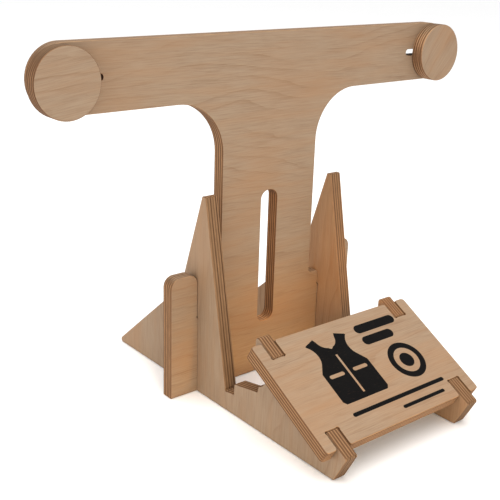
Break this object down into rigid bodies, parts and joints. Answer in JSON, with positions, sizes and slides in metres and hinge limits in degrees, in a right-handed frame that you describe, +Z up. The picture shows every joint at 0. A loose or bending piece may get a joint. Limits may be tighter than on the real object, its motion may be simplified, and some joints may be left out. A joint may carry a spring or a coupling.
{
  "type": "display stand",
  "caption": "Flat-pack plywood display stand: T-shaped hanger lapped between two spired side plates, sloping sign plate in front, and round discs clamped to the arm ends.",
  "frame": {"origin": "on the floor, in the middle of the footprint", "axes": "+X to the right of someone facing the front, -Y to the front, +Z up"},
  "size_m": [0.4544, 0.3162, 0.3124],
  "materials": {
    "plywood": "light birch-faced plywood, clear matt",
    "printed_plywood": "light birch-faced plywood, clear matt, with a black print",
    "brass": "plain turned brass",
    "zinc_plate": "bright zinc plate"
  },
  "bodies": {
    "hanger": {"hanger_plate": "plywood"},
    "side_left": {"side_plate_left": "plywood"},
    "side_right": {"side_plate_right": "plywood"},
    "sign": {"sign_plate": "printed_plywood"},
    "disc_left": {"disc_left": "plywood", "threaded_insert_left": "brass", "washer_left": "zinc_plate"},
    "screw_left": {"clamp_screw_left": "zinc_plate"},
    "disc_right": {"disc_right": "plywood", "threaded_insert_right": "brass", "washer_right": "zinc_plate"},
    "screw_right": {"clamp_screw_right": "zinc_plate"}
  },
  "joints": [
    {"name": "disc_left_slide", "type": "slide", "parent": "hanger", "child": "disc_left", "axis": [1, 0, 0], "range_m": [0, 0.032]},
    {"name": "disc_right_slide", "type": "slide", "parent": "hanger", "child": "disc_right", "axis": [-1, 0, 0], "range_m": [0, 0.032]},
    {"name": "screw_left_turn", "type": "hinge", "parent": "disc_left", "child": "screw_left", "pos_m": [-0.2005, 0.0295, 0.285], "axis": [0, 1, 0], "range_deg": [0, 360]},
    {"name": "screw_right_turn", "type": "hinge", "parent": "disc_right", "child": "screw_right", "pos_m": [0.2005, 0.0295, 0.285], "axis": [0, 1, 0], "range_deg": [0, 360]},
    {"name": "side_left_lift", "type": "slide", "parent": "hanger", "child": "side_left", "axis": [0, 0, 1], "range_m": [0, 0.071]},
    {"name": "side_right_lift", "type": "slide", "parent": "hanger", "child": "side_right", "axis": [0, 0, 1], "range_m": [0, 0.071]},
    {"name": "sign_lift", "type": "slide", "parent": "side_left", "child": "sign", "axis": [0, -0.4879, 0.8729], "range_m": [0, 0.0125]}
  ],
  "couplings": [
    {"joint": "side_right_lift", "follows": "side_left_lift", "ratio": 1}
  ]
}
